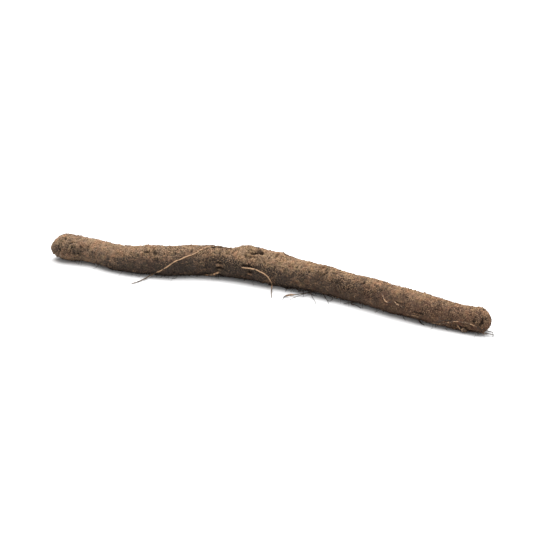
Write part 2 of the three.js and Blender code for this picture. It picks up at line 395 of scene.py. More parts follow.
def bark_points(along, angle, height=0.0):
    """Points on the solid's bark, or off it by a height, at distances along and angles round."""
    radius = girth(along)
    share = 1 + sum(
        high * np.sin(2 * math.pi * along / every + waves * angle + start)
        for high, every, waves, start in LUMPS
    )
    bark = dome(along) * (radius * share + humps(SWELLINGS, along, angle)) + height
    front = headings(along)[1]
    side = spine_at(along) + front * (WIDENING * bark * np.cos(angle))[:, None]
    sag = CROWN_SAG[1] * (1 - np.clip(along / CROWN_SAG[0], 0, 1)) ** 2
    z = radius * (1 - BELLY) + lift(along) - sag + bark * np.sin(angle)
    return np.column_stack((side, np.maximum(z, 0)))


GRADIENTS = np.array([v for v in itertools.product((-1, 0, 1), repeat=3) if sum(map(abs, v)) == 2], float)
CELL_PRIMES = np.array([73856093, 19349663, 83492791])
SEED_PRIME, STIR_PRIME, LOW_BITS = 2654435761, 1274126177, 0xFFFFFFFF


def noise(places, seed):
    """Smooth noise, about -1 to 1, that changes over one unit of its places."""
    cell = np.floor(places).astype(np.int64)
    part = places - cell
    ease = part**3 * (part * (part * 6 - 15) + 10)
    total = np.zeros(len(places))
    for corner in itertools.product((0, 1), repeat=3):
        key = (cell + corner) @ CELL_PRIMES + seed * SEED_PRIME
        key = (key ^ (key >> 13)) * STIR_PRIME & LOW_BITS
        slope = GRADIENTS[(key ^ (key >> 16)) % len(GRADIENTS)]
        weight = np.where(corner, ease, 1 - ease).prod(axis=1)
        total += weight * ((part - corner) * slope).sum(axis=1)
    return total


# ---- Meshes ----


def linked(name, data):
    """A new object with its data, linked to the scene."""
    made = bpy.data.objects.new(name, data)
    bpy.context.scene.collection.objects.link(made)
    return made


def mesh_object(name, points, faces, smooth=True):
    """A mesh object from points in millimetres."""
    mesh = bpy.data.meshes.new(name)
    mesh.from_pydata((np.asarray(points) * MM).tolist(), [], faces)
    mesh.validate()
    mesh.polygons.foreach_set("use_smooth", [smooth] * len(mesh.polygons))
    return linked(name, mesh)


def set_attribute(piece, name, values):
    """Stores one number for each vertex."""
    attribute = piece.data.attributes.new(name, "FLOAT", "POINT")
    attribute.data.foreach_set("value", np.asarray(values, np.float32))


def tube_grid(rings, sides):
    """Faces of a closed tube whose points are rings in a row, then the poles of its start and end."""
    start_pole = rings * sides
    last = start_pole - sides
    faces = []
    for ring in range(0, last, sides):
        for side in range(sides):
            a, b = ring + side, ring + (side + 1) % sides
            faces.append((a, a + sides, b + sides, b))
    for side in range(sides):
        following = (side + 1) % sides
        faces.append((start_pole, side, following))
        faces.append((start_pole + 1, last + following, last + side))
    return faces


def rod(line, radii, sides=10, blunt=(0.4, 0.6)):
    """Points and faces of a closed round rod along a line, with a radius at each point and blunt ends."""
    ahead = np.gradient(line, axis=0)
    ahead /= np.linalg.norm(ahead, axis=1)[:, None]
    across = np.cross(ahead[0], (0.3, 0.2, 1.0))
    points = []
    for place, heading, radius in zip(line, ahead, radii):
        across = across - heading * np.dot(across, heading)
        across /= np.linalg.norm(across)
        other = np.cross(heading, across)
        for side in range(sides):
            turn = 2 * math.pi * side / sides
            points.append(place + radius * (math.cos(turn) * across + math.sin(turn) * other))
    points += [line[0] - ahead[0] * radii[0] * blunt[0], line[-1] + ahead[-1] * radii[-1] * blunt[1]]
    return points, tube_grid(len(line), sides)


# ---- Node trees and materials ----


class Nodes:
    """Builds a node tree in short lines."""

    def __init__(self, tree):
        self.tree = tree
        tree.nodes.clear()

    def node(self, kind, settings=None, **inputs):
        """A node with its settings and inputs; an input is a value or another node's socket."""
        node = self.tree.nodes.new(kind)
        for key, value in (settings or {}).items():
            setattr(node, key, value)
        for key, value in inputs.items():
            place = int(key[1:]) if key[0] == "_" else key.replace("_", " ")
            self.feed(node.inputs[place], value)
        return node

    def add(self, kind, settings=None, **inputs):
        """The first output of a new node."""
        return self.node(kind, settings, **inputs).outputs[0]

    def feed(self, socket, value):
        """Links a socket to another, or sets its value."""
        if isinstance(value, bpy.types.NodeSocket):
            self.tree.links.new(value, socket)
        else:
            socket.default_value = value

    def math(self, operation, *values, kind="ShaderNodeMath"):
        """One sum of numbers or sockets."""
        inputs = {f"_{place}": value for place, value in enumerate(values)}
        return self.add(kind, {"operation": operation}, **inputs)

    def times(self, *factors):
        """The product of numbers and sockets."""
        product = factors[0]
        for factor in factors[1:]:
            product = self.math("MULTIPLY", product, factor)
        return product

    def weigh(self, *terms, start=0.0):
        """The sum of sockets, each times its weight, and a number to start from."""
        total = start
        for socket, weight in terms:
            total = self.math("MULTIPLY_ADD", socket, weight, total)
        return total

    def ramp(self, value, low, high):
        """0 below low, 1 above high, and smooth between."""
        return self.add("ShaderNodeMapRange", {"interpolation_type": "SMOOTHSTEP"}, _0=value, _1=low, _2=high)

    def noise(self, place, scale, detail, roughness=0.55, output=0):
        """Noise at a place, with so many features to a unit; output 1 is a vector of three noises."""
        settings = {"Scale": scale, "Detail": detail, "Roughness": roughness}
        return self.node("ShaderNodeTexNoise", Vector=place, **settings).outputs[output]


class Skin(Nodes):
    """A material, painted in coats and finished with a shader."""

    def __init__(self, name):
        self.material = bpy.data.materials.new(name)
        self.material.use_nodes = True
        super().__init__(self.material.node_tree)

    def place(self):
        """Where the point is on the piece."""
        return self.node("ShaderNodeTexCoord").outputs["Object"]

    def attribute(self, name, output="Fac"):
        """A number or vector that the mesh holds for each vertex."""
        return self.node("ShaderNodeAttribute", {"attribute_name": name}).outputs[output]

    def coat(self, under, over, share, strength=1.0, blend="MIX"):
        """Lays a colour over another by a share times a strength."""
        settings = {"data_type": "RGBA", "clamp_factor": True, "blend_type": blend}
        share = self.times(share, strength)
        return self.node("ShaderNodeMix", settings, _0=share, _6=under, _7=over).outputs[2]

    def finish(self, colour, roughness, gloss, **bump):
        """Ends the tree with a shader, with a bump if one is given, and returns the material."""
        shader = self.node(
            "ShaderNodeBsdfPrincipled", Base_Color=colour, Roughness=roughness, Specular_IOR_Level=gloss
        )
        if bump:
            self.feed(shader.inputs["Normal"], self.add("ShaderNodeBump", **bump))
        self.node("ShaderNodeOutputMaterial", Surface=shader.outputs[0])
        return self.material


def bark_material(colours):
    """Brown corky bark under dry soil: dusty above, with painted light, dark in its hollows with dark soil
    and painted shade, raw orange where it is rubbed.
    """
    skin = Skin("soiled_bark")
    place = skin.place()
    straight = skin.attribute("straight", "Vector")
    hollow, raised, dried, raw, stain, ruddy, clods = (
        skin.attribute(name) for name in ("hollow", "raised", "dried", "raw", "stain", "ruddy", "clods")
    )
    across, lengthways = (
        skin.add("ShaderNodeMapping", Vector=straight, Scale=stretch)
        for stretch in ((1.0, 0.22, 0.22), (0.18, 1.0, 1.0))
    )
    bands = skin.noise(across, 1.1, 3, 0.6)
    fibres = skin.noise(lengthways, 1.1, 4, 0.65)
    patches = skin.noise(place, 95, 4)
    mottle = skin.noise(place, 340, 4, 0.6)
    clots = skin.noise(place, 700, 3, 0.6)
    grain = skin.noise(place, 1300, 3, 0.65)
    fine = skin.noise(place, 2300, 2, 0.7)

    # Damp soil and bark in patches, rusty bands, then dry dust on what faces up or stands proud, laid with
    # painted light, paler on top and along the top edge, and painted shade, thinner across the front and in
    # shaded places.
    damp = skin.weigh(
        (patches, 0.6), (mottle, 0.25), (fibres, 0.45), (clots, 0.25), (stain, -0.16), (dried, 0.25)
    )
    colour = skin.coat(colours["damp"], colours["bark"], skin.ramp(damp, 0.765, 0.965))
    rusty = skin.weigh((skin.ramp(bands, 0.5, 0.68), 0.35), start=ruddy)
    colour = skin.coat(colour, colours["rust"], rusty)
    dust_and_painted_light = skin.weigh(
        (dried, 0.7), (raised, 0.4), (mottle, 0.6), (clots, 0.7), (patches, 1.1), (fibres, 1.2), (stain, -0.5)
    )
    colour = skin.coat(colour, colours["dust"], skin.ramp(dust_and_painted_light, 1.95, 2.75), 0.92)

    # Reddish, olive and greyish tints in patches of different sizes.
    reddish = skin.ramp(skin.noise(place, 190, 3, 0.6), 0.46, 0.64)
    colour = skin.coat(colour, (1.1, 0.91, 0.86, 1.0), reddish, 0.7, "MULTIPLY")
    olive = skin.ramp(skin.noise(place, 230, 3, 0.6), 0.48, 0.62)
    colour = skin.coat(colour, (0.97, 1.05, 0.92, 1.0), olive, 0.7, "MULTIPLY")
    greyish = skin.ramp(skin.noise(place, 160, 3, 0.6), 0.56, 0.4)
    greyish = skin.weigh((greyish, 0.5), (ruddy, -1.0))
    colour = skin.coat(colour, (0.92, 0.99, 1.13, 1.0), greyish, 1.0, "MULTIPLY")

    # Pale and dark grains, more of them where the soil is dry or cloddy, then the hollows, near black with
    # dark soil and painted shade, and the raw places.
    grainy = skin.ramp(skin.noise(place, 70, 3), 0.4, 0.6)
    grainy = skin.weigh((grainy, 0.45), (clods, 0.8), (dried, 0.4), start=0.44)
    colour = skin.coat(colour, colours["sand"], skin.times(skin.ramp(grain, 0.53, 0.66), grainy), 0.95)
    dark = skin.ramp(skin.weigh((stain, -0.08), start=grain), 0.48, 0.36)
    colour = skin.coat(colour, colours["pit"], skin.times(dark, grainy), 0.85)
    colour = skin.coat(colour, colours["pit"], skin.ramp(hollow, 0.08, 0.9), 0.9)
    torn = skin.ramp(skin.weigh((mottle, 0.5), start=raw), 0.7, 1.1)
    colour = skin.coat(colour, colours["flesh"], torn, 0.7)

    roughness = skin.add("ShaderNodeMapRange", _0=grain, _3=0.82, _4=1.0)
    height = skin.weigh((grain, 0.8), (fine, 0.3), (bands, 0.3), (fibres, 0.5))
    return skin.finish(colour, roughness, gloss=0.08, Strength=1.0, Distance=0.0009, Height=height)


def rootlet_material(name, clean, soiled, soil_share):
    """Thin tan skin with soil stuck to it in places, and darker towards the tip with damp soil and painted
    shade.
    """
    skin = Skin(name)
    place = skin.place()
    grain = skin.noise(place, 2100, 2, 0.6)
    edge = 0.62 - 0.3 * soil_share
    colour = skin.coat(clean, soiled, skin.ramp(skin.noise(place, 420, 4, 0.6), edge, edge + 0.1))
    colour = skin.coat(colour, soiled, skin.ramp(grain, 0.5, 0.7), 0.4)
    # The tip darkens: damp soil, and painted shade on the free stretch.
    dried = (*(0.35 * part for part in soiled[:3]), 1.0)
    colour = skin.coat(colour, dried, skin.ramp(skin.attribute("tip"), 0.62, 0.76), 0.85)
    return skin.finish(colour, roughness=0.75, gloss=0.3, Strength=0.5, Distance=0.0002, Height=grain)


# ---- The taproot ----


def ring_places(rings, crown_rings=46, tail_rings=36):
    """Distances along the root where its rings lie, close together in the two domes."""
    crown = CROWN_DOME * (1 - np.cos(np.linspace(0, math.pi / 2, crown_rings + 1)[1:]))
    tail = ROOT_LENGTH - TAIL_DOME * (1 - np.cos(np.linspace(math.pi / 2, 0, tail_rings + 1)[:-1]))
    middle = np.linspace(CROWN_DOME, ROOT_LENGTH - TAIL_DOME, rings - crown_rings - tail_rings + 2)[1:-1]
    return np.concatenate((crown, middle, tail))


def scattered_marks(seed):
    """Small marks all over the bark: lenticels that lie across the root, pits and warts."""
    draw = np.random.default_rng(seed).uniform
    marks = []

    # Lenticels: places, half lengths, half widths and depths.
    for _ in range(230):
        at, degrees = draw(8, ROOT_LENGTH - 6), draw(0, 360)
        marks.append((at, degrees, draw(0.35, 0.7), draw(1.2, 3.4), -draw(0.15, 0.4)))

    # Pits and warts: how many, their sizes, widths as shares of the size, heights, and whether in or out.
    for count, sizes, widths, heights, way in (
        (70, (0.6, 1.3), (0.7, 1.3), (0.25, 0.6), -1),
        (60, (0.7, 1.6), (0.8, 1.4), (0.2, 0.5), 1),
    ):
        for _ in range(count):
            at, degrees, size = draw(4, ROOT_LENGTH - 4), draw(0, 360), draw(*sizes)
            marks.append((at, degrees, size, size * draw(*widths), way * draw(*heights)))
    return marks


def near(along, at, reach):
    """The stretch of places in order that lie within reach of one."""
    return slice(*np.searchsorted(along, (at - reach, at + reach)))


def soil_relief(along, angle, straight, seed):
    """Height, hollow and raised of the wrinkled bark and the soil on it, without any single marks."""

    def layer(size, step, places=straight):
        return noise(places / size, seed + step)

    # The skin: slow swells, wrinkles across the root that come and go, and furrows along it.
    height = 0.4 * layer(13, 0) + 0.26 * layer(5.5, 1)
    broken = np.clip(0.5 + 1.2 * layer(15, 2), 0, 1)
    across = straight * (1, 0.2, 0.2)
    wrinkles = 0.2 * (0.4 - np.abs(layer(2.1, 3, across))) + 0.1 * layer(1.1, 4, across)
    furrows = -0.3 * np.clip(layer(1, 7, straight * (0.035, 0.42, 0.42)) - 0.2, 0, 1)

    # The soil: a broken crust, grit, and thicker patches.
    crust = np.clip(0.55 + 1.3 * layer(2.7, 5) + 0.8 * layer(1.3, 6), 0, 1)
    crust = crust * crust * (3 - 2 * crust)
    clods = clod_share(along, angle)
    grit = (1 + clods) * layer(0.85, 9)
    soil = np.clip(2.2 * layer(8, 8) - 0.1, 0, 1)
    fine = broken * wrinkles * 1.4 + (0.2 + 0.2 * clods) * (crust - 0.55) + 0.22 * grit + furrows
    height += fine + 0.3 * soil
    hollow = np.clip(0.6 * (0.5 - crust), 0, 0.3) + np.clip(-2 * broken * wrinkles, 0, 0.2)
    hollow += np.clip(-0.5 * grit, 0, 0.25)
    return height, hollow, np.clip(0.5 * crust + 0.7 * grit + 0.3 * soil, 0, 1)


RIM_SPREAD = 1.7  # how much wider a rim is than its pit
LIP_TURN = 9  # degrees from the middle of a lip down to the hollow under it


def bark_relief(along, angle, straight, seed):
    """Height of the bark off the solid in millimetres, and how hollow and how raised each place is."""
    height, hollow, raised = soil_relief(along, angle, straight, seed)
    for at, degrees, long, wide, high in scattered_marks(seed + 20):
        part = near(along, at, 3 * long)
        mark = hump(along[part], angle[part], at, degrees, long, wide)
        height[part] += high * mark
        hollow[part] += np.clip(-high * 1.6, 0, 1) * mark**2

    # Pits and slots in a raised rim.
    for at, degrees, long, wide, deep in PITS + SLOTS:
        part = near(along, at, 3 * long + 1)
        mark = hump(along[part], angle[part], at, degrees, long, wide)
        rim = hump(along[part], angle[part], at, degrees, long * RIM_SPREAD, wide * RIM_SPREAD)
        height[part] += 0.5 * deep * (rim - mark) - deep * mark**2
        hollow[part] += min(1.1 * deep, 1) * mark**1.5
        raised[part] += 0.9 * (rim - mark)

    # Ring scars: a raised ring with a groove on either side, and a sunk or domed middle.
    for at, degrees, radius, high, deep in RINGS:
        part = near(along, at, 2.5 * radius)
        across = turn_between(angle[part], degrees) * girth(along[part])
        away = np.hypot(along[part] - at, across) / radius
        height[part] += high * bell(away, 1, 0.32) - deep * bell(away, 0, 0.45)
        height[part] -= 0.5 * high * bell(away, 0.62, 0.2)
        height[part] -= 0.4 * high * bell(away, 1.4, 0.2)
        hollow[part] += np.clip(1.2 * deep, 0, 0.7) * bell(away, 0, 0.4)
        hollow[part] += 0.35 * bell(away, 0.62, 0.18)
        hollow[part] += 0.4 * bell(away, 1.4, 0.15)
        raised[part] += 0.5 * bell(away, 1, 0.25)

    # Lips with a hollow under their lower edge.
    for at, degrees, long, wide, high in LIPS:
        part = near(along, at, 3 * long)
        lip = hump(along[part], angle[part], at, degrees, long, wide)
        under = hump(along[part], angle[part], at, degrees - LIP_TURN, long, wide)
        height[part] += high * lip - 0.5 * high * under
        hollow[part] += min(high, 0.8) * under * (1 - lip)
        raised[part] += 0.7 * lip

    # Rings and a sunk middle on the very end of the crown.
    reach = dome(along) * girth(along)
    crown = np.where(along < CROWN_DOME, 1, 0) * np.exp(-((reach / 7.5) ** 4))
    height += crown * (0.28 * np.sin(reach * 2.3) - 0.9 * bell(reach, 0, 1.7))
    hollow += crown * 0.8 * bell(reach, 0, 1.5)
    return height, np.clip(hollow, 0, 1), np.clip(raised, -0.5, 1.2)


def clod_share(along, angle):
    """How cloddy the soil on the bark is, from 1 down to 0, and below 0 where it is brushed smooth."""
    cloddy, brushed = (
        np.clip(sum(hump(along, angle, *place) for place in places), 0, 1)
        for places in (CLODDY_PLACES, BRUSHED_PLACES)
    )
    return cloddy - 0.5 * brushed


def relief_at(along, angle, seed):
    """The bark laid out straight at places in any order, and its height, hollow and raised there."""
    reach = dome(along) * girth(along)
    straight = np.column_stack((along, reach * np.cos(angle), reach * np.sin(angle)))
    order = np.argsort(along, kind="stable")
    relief = [np.empty(len(along)) for _ in range(3)]
    for whole, part in zip(relief, bark_relief(along[order], angle[order], straight[order], seed)):
        whole[order] = part
    return straight, *relief


def outward(points, sides):
    """Unit vectors out of a skin whose points are rings in a row, then the poles of its two ends."""
    grid = points[:-2].reshape(-1, sides, 3)
    forth = np.gradient(grid, axis=0)
    round_it = np.roll(grid, -1, axis=1) - np.roll(grid, 1, axis=1)
    skin = np.cross(forth, round_it).reshape(-1, 3)

    # The poles face straight out of the ends, away from the middles of rings a little further in.
    middle = grid.mean(axis=1)
    out = np.vstack((skin, middle[0] - middle[8], middle[-1] - middle[-9]))
    return out / np.linalg.norm(out, axis=1)[:, None]


def soil_dryness_and_painted_light(along, angle, up):
    """How dusty the soil is, with painted light and shade: drier at the crown end, paler on top as dust and
    painted light, a painted highlight along the top edge, darker across the front and in broad places as
    painted shade, damper towards the tail, and paler low on the crown end as crust and painted bounce light.
    """
    dried = DRY_SIDES + TOP_DUST_AND_PAINTED_LIGHT * up + DRY_CROWN * bell(along, 0, DRY_CROWN_REACH)
    dried -= PAINTED_SHADE_LOSS * sum(hump(along, angle, *place) for place in PAINTED_SHADE_PLACES)
    start, length, loss, spared = TAIL_DAMP
    dried -= (loss - spared * band(angle, *CREST)) * np.clip((along - start) / length, 0, 1)
    for strength, degrees, half in PAINTED_LIGHT_BANDS:
        dried += strength * band(angle, degrees, half)
    strength, reach, degrees, half = LOW_CRUST_AND_PAINTED_BOUNCE
    dried += strength * bell(along, 0, reach) * band(angle, degrees, half)
    return np.clip(dried, 0, 1)


def ruddiness(along, angle):
    """How rusty the bark is: more towards the tail, and below 0 on the crown half, most of all low down."""
    ruddy = RUST_SHARE * np.clip((along - RUST_START) / RUST_LENGTH, 0, 1)
    ruddy += RUST_PATCH_SHARE * hump(along, angle, *RUST_PATCH) - 0.75 * bell(along, 0, 40)
    return ruddy - np.clip((RUST_START - along) / 60, 0, 1) * (0.48 - 0.26 * np.sin(angle))


def make_taproot(settings, material):
    """The taproot's bark as one closed skin over the solid, with its relief as real geometry."""
    places = ring_places(settings.rings)
    sides = settings.sides
    along = np.concatenate((np.repeat(places, sides), (0, ROOT_LENGTH)))
    angle = np.concatenate((np.tile(np.arange(sides) * 2 * math.pi / sides, len(places)), (0, 0)))
    points = bark_points(along, angle)
    out = outward(points, sides)
    straight, height, hollow, raised = relief_at(along, angle, settings.seed)
    points += out * (settings.relief * height)[:, None]
    points[:, 2] = np.maximum(points[:, 2], 0)
    taproot = mesh_object("taproot", points, tube_grid(len(places), sides))
    vector = taproot.data.attributes.new("straight", "FLOAT_VECTOR", "POINT")
    vector.data.foreach_set("vector", straight.astype(np.float32).ravel())
    looks = {
        "hollow": hollow,
        "raised": raised,
        # Paler on top and along the top edge, darker across the front and in broad places: dust, with painted
        # light and painted shade.
        "dried": soil_dryness_and_painted_light(along, angle, out[:, 2]),
        "ruddy": ruddiness(along, angle),
        "clods": clod_share(along, angle),
        "raw": np.clip(humps(RAW_PLACES, along, angle), 0, 1),
        # Damp stains, with some rows of painted shade or painted light.
        "stain": np.clip(humps(STAINS_AND_PAINTED_LIGHT_AND_SHADE, along, angle), -0.6, 1),
    }
    for name, values in looks.items():
        set_attribute(taproot, name, values)
    taproot.data.materials.append(material)
    return taproot


# ---- The rootlets ----


def bark_route(places, settings, stand, every, steps=14):
    """Points over the smoothed relief of the bark, through places given as distance along and angle round."""
    line = smooth_line(places, steps)
    along, angle = line[:, 0], np.radians(line[:, 1])
    height = relief_at(along, angle, settings.seed)[1]
    height = np.convolve(np.pad(height, 3, "edge"), np.full(7, 1 / 7), "valid")
    return bark_points(along, angle, settings.relief * height + stand)[::every]


def beside(places):
    """Points given as distance along the root, distance in front of its middle, and height."""
    along, front, height = np.array(places, float).T
    inside = np.clip(along, 0, ROOT_LENGTH)
    ahead, away = headings(inside)
    flat = spine_at(inside) + ahead * (along - inside)[:, None] + away * front[:, None]
    return np.column_stack((flat, height))


# How rootlets wander and how their width varies: over what length, with what seed, and by what share.
DRIFT_LENGTH, DRIFT_SEED = 5, 70
WIDTH_LENGTH, WIDTH_SEED, WIDTH_SHARE = 1.6, 80, 0.25


def make_rootlet(name, radii, places, material, wander=0.45):
    """One rootlet through places in millimetres, with radii spread evenly from base to tip."""
    line = smooth_line(places, 12)
    share = lengths_along(line) / lengths_along(line)[-1]
    drift = np.column_stack([noise(line / DRIFT_LENGTH, DRIFT_SEED + k) for k in range(3)])
    line = line + wander * drift * np.sin(math.pi * share)[:, None]
    width = np.interp(share, np.linspace(0, 1, len(radii)), radii)
    width = width * (1 + WIDTH_SHARE * noise(line / WIDTH_LENGTH, WIDTH_SEED))
    line[:, 2] = np.maximum(line[:, 2], width)
    points, faces = rod(line, width)
    piece = mesh_object(name, points, faces)
    sides = (len(points) - 2) // len(line)
    set_attribute(piece, "tip", np.append(np.repeat(share, sides), (0, 1)))
    piece.data.materials.append(material)
    return piece


# ---- Geometry Nodes: what repeats over the bark ----


class Tree(Nodes):
    """A Geometry Nodes tree with named numbers, which scatters points over the piece that it is given."""

    def __init__(self, name, *labels):
        super().__init__(bpy.data.node_groups.new(name, "GeometryNodeTree"))
        self.tree.is_modifier = True
        face = self.tree.interface
        for way in ("INPUT", "OUTPUT"):
            face.new_socket("Geometry", in_out=way, socket_type="NodeSocketGeometry")
        for label in labels:
            face.new_socket(label, in_out="INPUT", socket_type="NodeSocketFloat")
        face.new_socket("Seed", in_out="INPUT", socket_type="NodeSocketInt")
        self.given = self.node("NodeGroupInput").outputs
        self.place = self.add("GeometryNodeInputPosition")

    def vector(self, operation, *values):
        """One sum of vectors."""
        return self.math(operation, *values, kind="ShaderNodeVectorMath")

    def scaled(self, vector, by):
        """A vector made longer or shorter."""
        return self.add("ShaderNodeVectorMath", {"operation": "SCALE"}, _0=vector, Scale=by)

    def random(self, low, high, seed):
        """A random number, or a random vector where low and high are vectors."""
        kind, first, output = ("FLOAT_VECTOR", 0, 0) if isinstance(low, tuple) else ("FLOAT", 2, 1)
        node = self.node("FunctionNodeRandomValue", {"data_type": kind}, Seed=seed)
        self.feed(node.inputs[first], low)
        self.feed(node.inputs[first + 1], high)
        return node.outputs[output]

    def sway(self, scale, detail, roughness=0.5):
        """A smooth random vector at each place, about nought."""
        return self.vector("SUBTRACT", self.noise(self.place, scale, detail, roughness, 1), (0.5, 0.5, 0.5))

    def scattered(self, density):
        """Points and normals spread over the given piece."""
        given = {"Mesh": self.given["Geometry"], "Seed": self.given["Seed"]}
        return self.node("GeometryNodeDistributePointsOnFaces", Density=density, **given).outputs

    def repeated(self, points, piece, turn, size):
        """A piece at each of the points, made real."""
        put = {"Points": points[0], "Instance": piece, "Rotation": turn, "Scale": size}
        return self.real(self.add("GeometryNodeInstanceOnPoints", **put))

    def real(self, geometry):
        """Instances made into a mesh or curves of their own."""
        return self.add("GeometryNodeRealizeInstances", _0=geometry)

    def moved(self, geometry, **to):
        """A mesh or curves with their points moved, by an Offset or to a Position."""
        return self.add("GeometryNodeSetPosition", Geometry=geometry, **to)

    def above_floor(self, geometry, clearance):
        """Lifts whatever would reach below the floor to just above it."""
        parts = self.node("ShaderNodeSeparateXYZ", _0=self.place).outputs
        height = self.math("MAXIMUM", parts[2], clearance)
        lifted = self.add("ShaderNodeCombineXYZ", _0=parts[0], _1=parts[1], _2=height)
        return self.moved(geometry, Position=lifted)

    def finish(self, geometry, material):
        """Realizes the instances, sets the material and ends the tree."""
        dressed = self.add("GeometryNodeSetMaterial", Geometry=self.real(geometry), Material=material)
        self.node("NodeGroupOutput", _0=dressed)
        return self.tree


def made_by(tree, carrier, name, values):
    """A plain mesh from a tree run on a copy of the carrier, with its named inputs set."""
    host = carrier.copy()
    host.data = carrier.data.copy()
    bpy.context.scene.collection.objects.link(host)
    modifier = host.modifiers.new(name, "NODES")
    modifier.node_group = tree
    for socket in tree.interface.items_tree:
        if socket.in_out == "INPUT" and socket.name in values:
            modifier[socket.identifier] = values[socket.name]
    host.update_tag()
    graph = bpy.context.evaluated_depsgraph_get()
    mesh = bpy.data.meshes.new_from_object(host.evaluated_get(graph), depsgraph=graph)
    mesh.name = name
    material = mesh.materials[-1]
    mesh.materials.clear()
    mesh.materials.append(material)
    host.modifiers.clear()
    bpy.data.objects.remove(host)
    if not mesh.polygons:
        raise RuntimeError(f"{name} came out empty")
    return linked(name, mesh)


def crumb_tree(material):
    """Small uneven crumbs stuck all over a surface, thicker in patches."""
    tree = Tree("soil_crumbs", "Crumbs per square metre", "Smallest", "Largest")
    given = tree.given
    patch = tree.ramp(tree.noise(tree.place, 110, 3), 0.36, 0.66)
    density = tree.times(given["Crumbs per square metre"], tree.math("ADD", patch, 0.25))
    spread = tree.math("SUBTRACT", given["Largest"], given["Smallest"])
    mostly_small = tree.math("POWER", tree.random(0.0, 1.0, seed=3), 3.5)
    size = tree.math("ADD", given["Smallest"], tree.times(mostly_small, spread))
    turn = tree.random((0.0, 0.0, 0.0), (6.28, 6.28, 6.28), seed=4)
    stretch = tree.random((0.6, 0.6, 0.6), (1.3, 1.3, 1.3), seed=5)
    grain = tree.add("GeometryNodeMeshIcoSphere", Radius=1.0, Subdivisions=1)
    crumbs = tree.repeated(tree.scattered(density), grain, turn, tree.scaled(stretch, size))
    jitter = tree.scaled(tree.sway(2400, 1), 0.0005)
    return tree.finish(tree.above_floor(tree.moved(crumbs, Offset=jitter), 0.0), material)


# How the two kinds of hair grow, in metres. They grow where the bark's slope lies between the lowest and the
# highest, from -1 where it faces down to 1 where it faces up.
FELT = {
    "Length": 0.0045, "Thickness": 0.00015, "Lean": 0.35, "Wander": 0.002, "Cling": 0.6, "Droop": 0.0,
    "Lowest": -1.1, "Highest": 1.1, "Seed": 21,
}
FINE_ROOTLETS = {
    "Lean": 0.9, "Wander": 0.008, "Cling": 0.15, "Droop": 0.005, "Lowest": -0.95, "Highest": 0.2, "Seed": 3,
}


def hair_tree(name, material, count, sides):
    """Thin tapering hairs, of so many points and sides, that leave the bark at a slant, wander and droop."""
    tree = Tree(
        name, "Hairs per square metre", "Length", "Thickness", "Lean", "Wander", "Cling", "Droop", "Lowest",
        "Highest",
    )
    given = tree.given

    # Where they grow: between two slopes of the bark, and mostly in patches.
    facing = tree.node("ShaderNodeSeparateXYZ", _0=tree.add("GeometryNodeInputNormal")).outputs[2]
    inside = tree.times(
        tree.math("GREATER_THAN", facing, given["Lowest"]), tree.math("LESS_THAN", facing, given["Highest"])
    )
    patch = tree.math("ADD", tree.ramp(tree.noise(tree.place, 45, 2), 0.44, 0.6), 0.15)
    points = tree.scattered(tree.times(inside, patch, given["Hairs per square metre"]))

    # Straight hairs at a slant, mostly short ones.
    slant = tree.random((-1.0, -1.0, -1.0), (1.0, 1.0, 1.0), seed=11)
    normal = points["Normal"]
    sideways = tree.vector("NORMALIZE", tree.vector("CROSS_PRODUCT", normal, slant))
    heading = tree.vector("ADD", tree.scaled(normal, given["Lean"]), sideways)
    align = tree.add("FunctionNodeAlignRotationToVector", {"axis": "Z"}, Vector=heading)
    line = tree.add("GeometryNodeCurvePrimitiveLine", Start=(0.0, 0.0, -0.04), End=(0.0, 0.0, 1.0))
    line = tree.add("GeometryNodeResampleCurve", Curve=line, Count=count)
    share = tree.weigh((tree.math("POWER", tree.random(0.0, 1.0, seed=12), 2.0), 0.8), start=0.2)
    size = tree.times(given["Length"], share)
    scale = tree.add("ShaderNodeCombineXYZ", _0=size, _1=size, _2=size)
    hairs = tree.repeated(points, line, align, scale)

    # Bent by their sway and droop, then pulled back towards the bark.
    spline = tree.node("GeometryNodeSplineParameter").outputs
    factor = tree.math("POWER", spline["Factor"], 1.3)
    sway = tree.scaled(tree.sway(170, 2, 0.6), tree.times(factor, given["Wander"]))
    fall = tree.times(factor, factor, given["Droop"], -1.0)
    drop = tree.add("ShaderNodeCombineXYZ", _0=0.0, _1=0.0, _2=fall)
    bent = tree.moved(hairs, Offset=tree.vector("ADD", sway, drop))
    nearest = tree.add("GeometryNodeProximity", {"target_element": "FACES"}, _0=given["Geometry"])
    pull = tree.scaled(tree.vector("SUBTRACT", nearest, tree.place), given["Cling"])
    laid = tree.above_floor(tree.moved(bent, Offset=pull), 0.0002)

    # A tapering skin with closed ends.
    width = tree.times(tree.weigh((spline["Factor"], -0.75), start=1.0), given["Thickness"])
    sized = tree.add("GeometryNodeSetCurveRadius", Curve=laid, Radius=width)
    circle = tree.add("GeometryNodeCurvePrimitiveCircle", Resolution=sides, Radius=1.0)
    radius = tree.add("GeometryNodeInputRadius")
    skinned = tree.add(
        "GeometryNodeCurveToMesh", Curve=sized, Profile_Curve=circle, Scale=radius, Fill_Caps=True
    )
    return tree.finish(skinned, material)


# ---- Settings ----


def colour_property(label, note, value):
    """A colour that a user can change."""
    return bpy.props.FloatVectorProperty(
        name=label, description=note, default=(*value, 1.0), subtype="COLOR", size=4, min=0, max=1
    )


def length_property(label, note, value):
    """A length in metres that a user can change."""
    return bpy.props.FloatProperty(
        name=label, description=note, default=value, min=0, precision=5, subtype="DISTANCE", unit="LENGTH"
    )


def number_property(label, note, value):
    """A plain number from nought up that a user can change."""
    return bpy.props.FloatProperty(name=label, description=note, default=value, min=0)


def angle_property(label, note, degrees):
    """An angle that a user can change."""
    return bpy.props.FloatProperty(
        name=label, description=note, default=math.radians(degrees), subtype="ANGLE", unit="ROTATION"
    )


